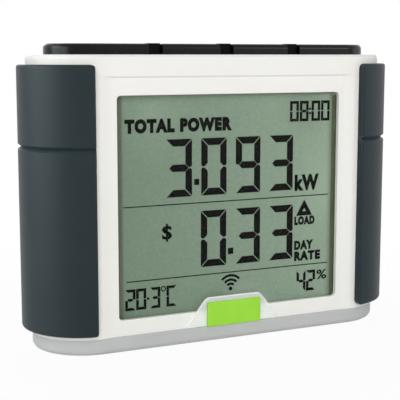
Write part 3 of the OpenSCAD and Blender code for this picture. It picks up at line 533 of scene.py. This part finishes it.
# Patches of painted light and shade
for x, z, radius, change in lcdSet["patches"]:
    centre = Vector((x * mm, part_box("lcd_glass")[0].y, z * mm))
    moved = addNode(lcdTree, "ShaderNodeMapping", {"vector_type": "TEXTURE"},
                    {"Location": centre, "Scale": [radius * mm] * 3}, {"Vector": lcdPlace.outputs["Object"]})
    patch = addNode(lcdTree, "ShaderNodeTexGradient", {"gradient_type": "QUADRATIC_SPHERE"},
                    links={"Vector": moved.outputs["Vector"]})
    lcdTone = addNode(lcdTree, "ShaderNodeMath", {"operation": "MULTIPLY_ADD"}, {1: change},
                      {0: patch.outputs["Fac"], 2: lcdTone}).outputs[0]
lcdTint = addNode(lcdTree, "ShaderNodeValToRGB", links={"Fac": lcdTone})
lcdTint.color_ramp.elements[0].color = srgb(lcdSet["deep"])
lcdTint.color_ramp.elements[1].color = srgb(lcdSet["pale"])
lcdTint.color_ramp.elements.new(lcdSet["middleTone"]).color = srgb(lcdSet["middle"])
lcdInside = None
# Border: the display's dark edge, darker still with painted shade along the window's walls
for axis, edge, way, soft in lcdSet["edges"]:
    inside = addNode(lcdTree, "ShaderNodeMapRange", {"interpolation_type": "SMOOTHSTEP"},
                     {"From Min": (edge - way * soft) * mm, "From Max": (edge + way * soft) * mm},
                     {"Value": lcdAxes.outputs[axis]}).outputs["Result"]
    if lcdInside is not None:
        inside = addNode(lcdTree, "ShaderNodeMath", {"operation": "MINIMUM"},
                         links={0: lcdInside, 1: inside}).outputs[0]
    lcdInside = inside
lcdColour = addNode(lcdTree, "ShaderNodeMix", {"data_type": "RGBA"}, {mixColourA: srgb(lcdSet["border"])},
                    {mixShare: lcdInside, mixColourB: lcdTint.outputs["Color"]})
lcdTree.links.new(lcdColour.outputs[mixColourOut], lcdShader.inputs["Base Color"])
dress(nodes["lcd_glass"], reflectiveLcd)

# Driven crystal: the segments are near black with a trace of the green behind them
crystalInk = mouldedPlastic("drivenCrystalInk", {
    "light": "#11110f", "dark": "#0d0d0c", "cloudMm": 6, "grainMm": 0.5,
    "roughLow": 0.5, "roughHigh": 0.6, "bump": 0.0, "specular": 0.05,
})
print("display coloured")

# What the display shows stands this far proud of its glass, in mm
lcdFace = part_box("lcd_glass")[0].y / mm
inkThick = 0.05


# A bar of the display, from a box that is bisected by planes: each cut is a point and the way to what goes
def cutBar(name, low, high, cuts):
    deselectAll()
    middle = [(a + b) / 2 * mm for a, b in zip(low, high)]
    bpy.ops.mesh.primitive_cube_add(size=1, location=(middle[0], (lcdFace - inkThick / 2) * mm, middle[1]))
    bar = bpy.context.object
    bar.name = name
    bar.scale = ((high[0] - low[0]) * mm, inkThick * mm, (high[1] - low[1]) * mm)
    settle()
    bpy.ops.object.mode_set(mode="EDIT")
    for point, way in cuts:
        bpy.ops.mesh.select_all(action="SELECT")
        bpy.ops.mesh.bisect(plane_co=(point[0] * mm, 0, point[1] * mm), plane_no=(way[0], 0, way[1]),
                            use_fill=True, clear_outer=True)
    bpy.ops.object.mode_set(mode="OBJECT")
    return bar


# The seven bars of a digit, centred over the origin, with mitred corners and a hair of green between them. At
# half height the uprights are cut off at an angle, down to the tip on the inside and by the bevel outside.
def digitBars(name, style):
    wide, tall, stroke = (style[key] for key in ("width", "height", "stroke"))
    gap, split, tip, bevel = (style[key] for key in ("gap", "split", "tip", "bevel"))
    halfWide = wide / 2
    halfTall = tall / 2
    slip = gap / 2 / math.sqrt(2)
    bars = {}
    for letter, up in (("a", 1), ("d", -1)):
        cuts = [((side * (halfWide - slip), up * (halfTall + slip)), (side, -up)) for side in (-1, 1)]
        z = sorted((up * halfTall, up * (halfTall - stroke)))
        bars[letter] = cutBar(name + letter, (-halfWide, z[0]), (halfWide, z[1]), cuts)
    for letter, side, up in (("f", -1, 1), ("b", 1, 1), ("e", -1, -1), ("c", 1, -1)):
        cuts = [((side * (halfWide + slip), up * (halfTall - slip)), (-side, up)),
                ((0, up * split / 2), (0, -up)),
                ((side * (halfWide - tip + slip), up * slip), (-side, -up)),
                ((side * (halfWide - bevel - slip), up * slip), (side, -up))]
        x = sorted((side * halfWide, side * (halfWide - stroke)))
        z = sorted((0, up * halfTall))
        bars[letter] = cutBar(name + letter, (x[0], z[0]), (x[1], z[1]), cuts)
    cuts = [((side * (halfWide - tip), 0), (side, up)) for side in (-1, 1) for up in (-1, 1)]
    bars["g"] = cutBar(name + "g", (-halfWide + tip, -stroke / 2), (halfWide - tip, stroke / 2), cuts)
    return bars


litBars = {
    "0": "abcdef", "2": "abged", "3": "abgcd", "4": "fgbc", "8": "abcdefg", "9": "abfgcd", "C": "afed",
}
# Rows of digits: each has its style in mm, the height of its foot, and its digits with their left edges
largeBars = {"height": 19.7, "stroke": 2.45, "gap": 0.3, "split": 0.42, "tip": 1.25, "bevel": 0.5}
smallBars = {"gap": 0.06, "split": 0.26, "tip": 0.8, "bevel": 0}
digitRows = [
    {"style": {**largeBars, "width": 9.7}, "foot": 51.45,
     "digits": [("3", -24.2), ("0", -11.0), ("9", 2.3), ("3", 15.55)]},
    {"style": {**largeBars, "width": 9.8}, "foot": 26.4,
     "digits": [("0", -11.15), ("3", 2.3), ("3", 15.7)]},
    {"style": {**smallBars, "width": 3.6, "height": 7.25, "stroke": 1.0}, "foot": 75.85,
     "digits": [("0", 23.85), ("8", 27.88), ("0", 32.75), ("0", 36.72)]},
    {"style": {**smallBars, "width": 3.72, "height": 7.3, "stroke": 0.98}, "foot": 13.75,
     "digits": [("2", -39.34), ("0", -35.4), ("3", -30.22), ("C", -24.2)]},
    {"style": {**smallBars, "width": 3.8, "height": 7.6, "stroke": 1.05}, "foot": 13.8,
     "digits": [("4", 27.44), ("2", 31.5)]},
]
digitParts = []
for rowIndex, row in enumerate(digitRows):
    bars = digitBars("bar%d" % rowIndex, row["style"])
    for figure, left in row["digits"]:
        place = ((left + row["style"]["width"] / 2) * mm, 0, (row["foot"] + row["style"]["height"] / 2) * mm)
        for letter in litBars[figure]:
            digitParts.append(copyAt(bars[letter], place))
    discard(list(bars.values()))
displayDigits = joinAs("displayDigits", digitParts)
print("digits set,", len(digitParts), "bars")

# Points, colon and rules: middle and size in mm
plainMarks = {
    "upperPoint": ((-12.72, 56.26), (1.9, 2.1)), "lowerPoint": ((0.4, 31.2), (2.1, 2.2)),
    "smallPoint": ((-31.0, 17.3), (0.8, 0.8)),
    "colonUpper": ((32.12, 80.25), (0.95, 0.65)), "colonLower": ((32.12, 78.7), (0.95, 0.65)),
    "upperRule": ((0.28, 49.0), (79.8, 0.34)), "lowerRule": ((0.85, 23.65), (79.2, 0.34)),
    "priceBar": ((-23.9, 39.45), (0.75, 6.2)),
}
markParts = []
for name, (middle, extent) in plainMarks.items():
    low = [m - e / 2 for m, e in zip(middle, extent)]
    high = [m + e / 2 for m, e in zip(middle, extent)]
    markParts.append(cutBar(name, low, high, []))

# Radio sign: a dot under three arcs, each arc a small upright face spun about the dot, in mm and degrees
radioSign = {
    "middle": (0.47, 17.7), "dot": 0.72, "dotSides": 16, "radii": (1.75, 3.2, 4.75), "stroke": 0.85,
    "spread": 92, "steps": 14,
}
signX, signZ = radioSign["middle"]
lean = math.radians(radioSign["spread"] / 2)
for radius in radioSign["radii"]:
    deselectAll()
    bpy.ops.mesh.primitive_plane_add(size=1, rotation=(0, quarterTurn, 0))
    arc = bpy.context.object
    arc.name = "radioArc"
    settle()
    arc.scale = (1, inkThick * mm, radioSign["stroke"] * mm)
    arc.rotation_euler = (0, -lean, 0)
    arc.location = ((signX - radius * math.sin(lean)) * mm, (lcdFace - inkThick / 2) * mm,
                    (signZ + radius * math.cos(lean)) * mm)
    settle()
    bpy.ops.object.mode_set(mode="EDIT")
    bpy.ops.mesh.select_all(action="SELECT")
    bpy.ops.mesh.spin(steps=radioSign["steps"], angle=2 * lean,
                      center=(signX * mm, lcdFace * mm, signZ * mm), axis=(0, -1, 0))
    bpy.ops.mesh.select_all(action="SELECT")
    bpy.ops.mesh.normals_make_consistent(inside=False)
    bpy.ops.object.mode_set(mode="OBJECT")
    markParts.append(arc)

# Flat signs cut from a disc or a triangle with a smaller hole: middle, radius, corners and width of the rim
flatSigns = {
    "degreeRing": {"middle": (-25.35, 20.15), "radius": 0.98, "corners": 20, "rim": 0.4},
    "upMarker": {"middle": (30.25, 43.75), "radius": 3.85, "corners": 3, "rim": 1.5},
    "radioDot": {"middle": radioSign["middle"], "radius": radioSign["dot"],
                 "corners": radioSign["dotSides"], "rim": 0},
}
for name, sign in flatSigns.items():
    deselectAll()
    bpy.ops.mesh.primitive_circle_add(
        vertices=sign["corners"], radius=sign["radius"] * mm, fill_type="NGON",
        location=(sign["middle"][0] * mm, lcdFace * mm, sign["middle"][1] * mm), rotation=(quarterTurn, 0, 0))
    plate = bpy.context.object
    plate.name = name
    settle()
    bpy.ops.object.mode_set(mode="EDIT")
    bpy.ops.mesh.select_mode(type="FACE")
    bpy.ops.mesh.select_all(action="SELECT")
    if sign["rim"]:
        bpy.ops.mesh.inset(thickness=sign["rim"] * mm, depth=0)
        bpy.ops.mesh.delete(type="FACE")
        bpy.ops.mesh.select_all(action="SELECT")
    bpy.ops.mesh.extrude_region_move(TRANSFORM_OT_translate={"value": (0, -inkThick * mm, 0)})
    bpy.ops.mesh.select_all(action="SELECT")
    bpy.ops.mesh.normals_make_consistent(inside=False)
    bpy.ops.object.mode_set(mode="OBJECT")
    markParts.append(plate)
displayMarks = joinAs("displayMarks", markParts)
print("signs drawn")

# Plain words and units: text, left, foot, width and height in mm, and how much the strokes are thickened
words = [
    ("TOTAL POWER", -39.0, 73.45, 39.8, 4.8, 0.08),
    ("kW", 26.1, 50.85, 10.1, 5.9, 0.06),
    ("S", -25.75, 37.1, 3.7, 4.7, 0.035),
    ("LOAD", 26.2, 38.4, 8.5, 3.2, 0.08),
    ("DAY", 26.25, 29.3, 8.0, 3.4, 0.075),
    ("RATE", 26.3, 25.25, 11.0, 3.5, 0.07),
    ("%", 35.9, 17.6, 4.25, 3.6, 0.02),
]
wordSet = {"spacing": 1.2, "extrude": 0.05, "curveSteps": 4}


# Lettering from the built-in typeface, thickened, made a mesh and fitted to its box
def addWord(text, left, foot, width, height, weight):
    deselectAll()
    bpy.ops.object.text_add(rotation=(quarterTurn, 0, 0))
    word = bpy.context.object
    word.data.body = text
    word.data.offset = weight
    word.data.extrude = wordSet["extrude"]
    word.data.space_character = wordSet["spacing"]
    word.data.resolution_u = wordSet["curveSteps"]
    bpy.ops.object.convert(target="MESH")
    word = bpy.context.object
    word.name = "word"
    settle()
    corners = [vertex.co for vertex in word.data.vertices]
    low = Vector([min(c[i] for c in corners) for i in range(3)])
    high = Vector([max(c[i] for c in corners) for i in range(3)])
    wanted = Vector((width, inkThick, height)) * mm
    share = [w / (b - a) for w, a, b in zip(wanted, low, high)]
    corner = Vector((left, lcdFace - inkThick, foot)) * mm
    word.scale = share
    word.location = [c - a * k for c, a, k in zip(corner, low, share)]
    settle()
    return word


displayWords = joinAs("displayWords", [addWord(*word) for word in words])
for piece in (displayDigits, displayWords, displayMarks):
    dress(piece, crystalInk)
    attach(piece, "housing")
print("display finished")

# Tab behind the badge: the solid's own shape with its front edge bevelled, and all its edges polished. Sizes
# are in mm, and faceOn is how squarely a face looks forward.
tabSet = {"bevel": 0.25, "steps": 2, "merge": 0.005, "faceOn": 0.95}
frostSlot, edgeSlot = 0, 1
makeActive(nodes["badge_tab"])
bpy.ops.object.duplicate()
clearTab = joinAs("clearTab", [bpy.context.object])
bpy.ops.object.mode_set(mode="EDIT")
bpy.ops.mesh.select_all(action="SELECT")
bpy.ops.mesh.remove_doubles(threshold=tabSet["merge"] * mm)
bpy.ops.mesh.dissolve_limited()
bpy.ops.object.mode_set(mode="OBJECT")
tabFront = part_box("badge_tab")[0].y + tabSet["merge"] * mm
tabCorners = clearTab.data.vertices
selectIn(clearTab, "EDGE", lambda edge: all(tabCorners[v].co.y < tabFront for v in edge.vertices))
bpy.ops.mesh.bevel(offset=tabSet["bevel"] * mm, segments=tabSet["steps"])
bpy.ops.object.mode_set(mode="OBJECT")
dress(clearTab, frostedTab, brightEdge)
for face in clearTab.data.polygons:
    face.material_index = frostSlot if abs(face.normal.y) > tabSet["faceOn"] else edgeSlot
clearTab.visible_shadow = False  # frosted acrylic passes the light on
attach(clearTab, "housing")
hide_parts("badge_tab")
print("tab polished")

# Pan-head screws with a cross recess, modelled once with the head's face at the origin and the shank below it
screwSet = {
    "sides": 40, "headR": 2.6, "headH": 1.1, "crown": 0.45, "crownSteps": 3, "shankR": 1.2, "shankLen": 6.4,
    "point": 0.5, "pointShare": 0.5, "crossLong": 2.9, "crossWide": 0.75, "crossDeep": 0.7,
    "hair": 0.01, "faceOn": 0.9,  # how far from the face an edge may lie, and how squarely a face looks down
}
deselectAll()
bpy.ops.mesh.primitive_cylinder_add(
    vertices=screwSet["sides"], radius=screwSet["headR"] * mm, depth=screwSet["headH"] * mm,
    location=(0, 0, -screwSet["headH"] / 2 * mm))
screw = bpy.context.object
screw.name = "screw"
settle()
screwCorners = screw.data.vertices
crownFrom = -screwSet["hair"] * mm
selectIn(screw, "EDGE", lambda edge: all(screwCorners[v].co.z > crownFrom for v in edge.vertices))
bpy.ops.mesh.bevel(offset=screwSet["crown"] * mm, segments=screwSet["crownSteps"])
selectIn(screw, "FACE", lambda face: face.normal.z < -screwSet["faceOn"])
bpy.ops.mesh.inset(thickness=(screwSet["headR"] - screwSet["shankR"]) * mm, depth=0)
bpy.ops.mesh.extrude_region_move(
    TRANSFORM_OT_translate={"value": (0, 0, -(screwSet["shankLen"] - screwSet["point"]) * mm)})
bpy.ops.mesh.extrude_region_move(TRANSFORM_OT_translate={"value": (0, 0, -screwSet["point"] * mm)})
bpy.ops.transform.resize(value=(screwSet["pointShare"], screwSet["pointShare"], 1))
bpy.ops.object.mode_set(mode="OBJECT")
for turn in (0, quarterTurn):
    deselectAll()
    bpy.ops.mesh.primitive_cube_add(size=1, rotation=(0, 0, turn))
    recess = bpy.context.object
    recess.scale = (screwSet["crossLong"] * mm, screwSet["crossWide"] * mm, 2 * screwSet["crossDeep"] * mm)
    settle()
    makeActive(screw)
    cut = screw.modifiers.new("crossRecess", "BOOLEAN")
    cut.object = recess
    cut.operation = "DIFFERENCE"
    bpy.ops.object.modifier_apply(modifier=cut.name)
    discard([recess])
dress(screw, zincSteel)
makeActive(screw)
bpy.ops.object.shade_smooth_by_angle(angle=smoothUnder)
headR = screwSet["headR"] * mm
caseLow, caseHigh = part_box("case_screws")
baseLow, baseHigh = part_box("base_screws")
casePlaces = [(x, caseHigh.y, z) for x in (caseLow.x + headR, caseHigh.x - headR)
              for z in (caseLow.z + headR, caseHigh.z - headR)]
basePlaces = [(x, (baseLow.y + baseHigh.y) / 2, baseLow.z) for x in (baseLow.x + headR, baseHigh.x - headR)]
screwGroups = {
    "case_screws": ("caseScrewSet", (-quarterTurn, 0, 0), casePlaces),
    "base_screws": ("baseScrewSet", (halfTurn, 0, 0), basePlaces),
}
for nodeName, (pieceName, turn, places) in screwGroups.items():
    group = joinAs(pieceName, [copyAt(screw, place, turn) for place in places])
    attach(group, "housing")
    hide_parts(nodeName)
discard([screw])
print("screws cut")

# AA cells: a sleeve with rolled ends, a pale band near the raised end, and bare metal ends
cellSet = {
    "sides": 48, "radius": 7.25, "length": 50.5, "nubR": 2.7, "nub": 1.2, "roll": 0.7, "rollSteps": 3,
    "rim": 1.0, "band": 13.5, "shift": 1.8,
    "faceOn": 0.9, "flatOn": 0.99,  # how squarely a face looks along the cell
}
cellLow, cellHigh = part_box("battery_cells")
bodyLen = cellSet["length"] - cellSet["nub"]
deselectAll()
bpy.ops.mesh.primitive_cylinder_add(
    vertices=cellSet["sides"], radius=cellSet["radius"] * mm, depth=bodyLen * mm,
    location=(-cellSet["nub"] / 2 * mm, 0, 0), rotation=(0, quarterTurn, 0))
cell = bpy.context.object
cell.name = "cell"
settle()
selectIn(cell, "FACE", lambda face: abs(face.normal.x) > cellSet["faceOn"])
bpy.ops.mesh.bevel(offset=cellSet["roll"] * mm, segments=cellSet["rollSteps"])
selectIn(cell, "FACE", lambda face: face.normal.x > cellSet["flatOn"])
bpy.ops.mesh.inset(thickness=cellSet["rim"] * mm, depth=0)
nubInset = cellSet["radius"] - cellSet["roll"] - cellSet["rim"] - cellSet["nubR"]
bpy.ops.mesh.inset(thickness=nubInset * mm, depth=0)
bpy.ops.mesh.extrude_region_move(TRANSFORM_OT_translate={"value": (cellSet["nub"] * mm, 0, 0)})
bpy.ops.mesh.select_all(action="SELECT")
bandEdge = (cellSet["length"] / 2 - cellSet["nub"] - cellSet["band"]) * mm
bpy.ops.mesh.bisect(plane_co=(bandEdge, 0, 0), plane_no=(1, 0, 0))
bpy.ops.object.mode_set(mode="OBJECT")
dress(cell, tealSleeve, paleSleeve, nickelSteel)
sleeveSlot, bandSlot, metalSlot = 0, 1, 2
sleeveR = (cellSet["radius"] - cellSet["roll"] - cellSet["rim"] / 2) * mm
for face in cell.data.polygons:
    outward = math.hypot(face.center.y, face.center.z)
    if outward < sleeveR and abs(face.center.x) > bandEdge:
        face.material_index = metalSlot
    elif face.center.x > bandEdge:
        face.material_index = bandSlot
    else:
        face.material_index = sleeveSlot
makeActive(cell)
bpy.ops.object.shade_smooth_by_angle(angle=smoothUnder)
cellMid = (cellLow + cellHigh) / 2
cellPitch = (cellHigh.z - cellLow.z) / 2 - cellSet["radius"] * mm
cellCopies = []
for row, way in ((-1, 1), (0, -1), (1, 1)):  # neighbours lie head to tail
    place = (way * cellSet["shift"] * mm, cellMid.y, cellMid.z + row * cellPitch)
    cellCopies.append(copyAt(cell, place, (0, 0, 0 if way == 1 else halfTurn)))
cellGroup = joinAs("cellSet", cellCopies)
discard([cell])
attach(cellGroup, "housing")
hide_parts("battery_cells")
print("cells sleeved")
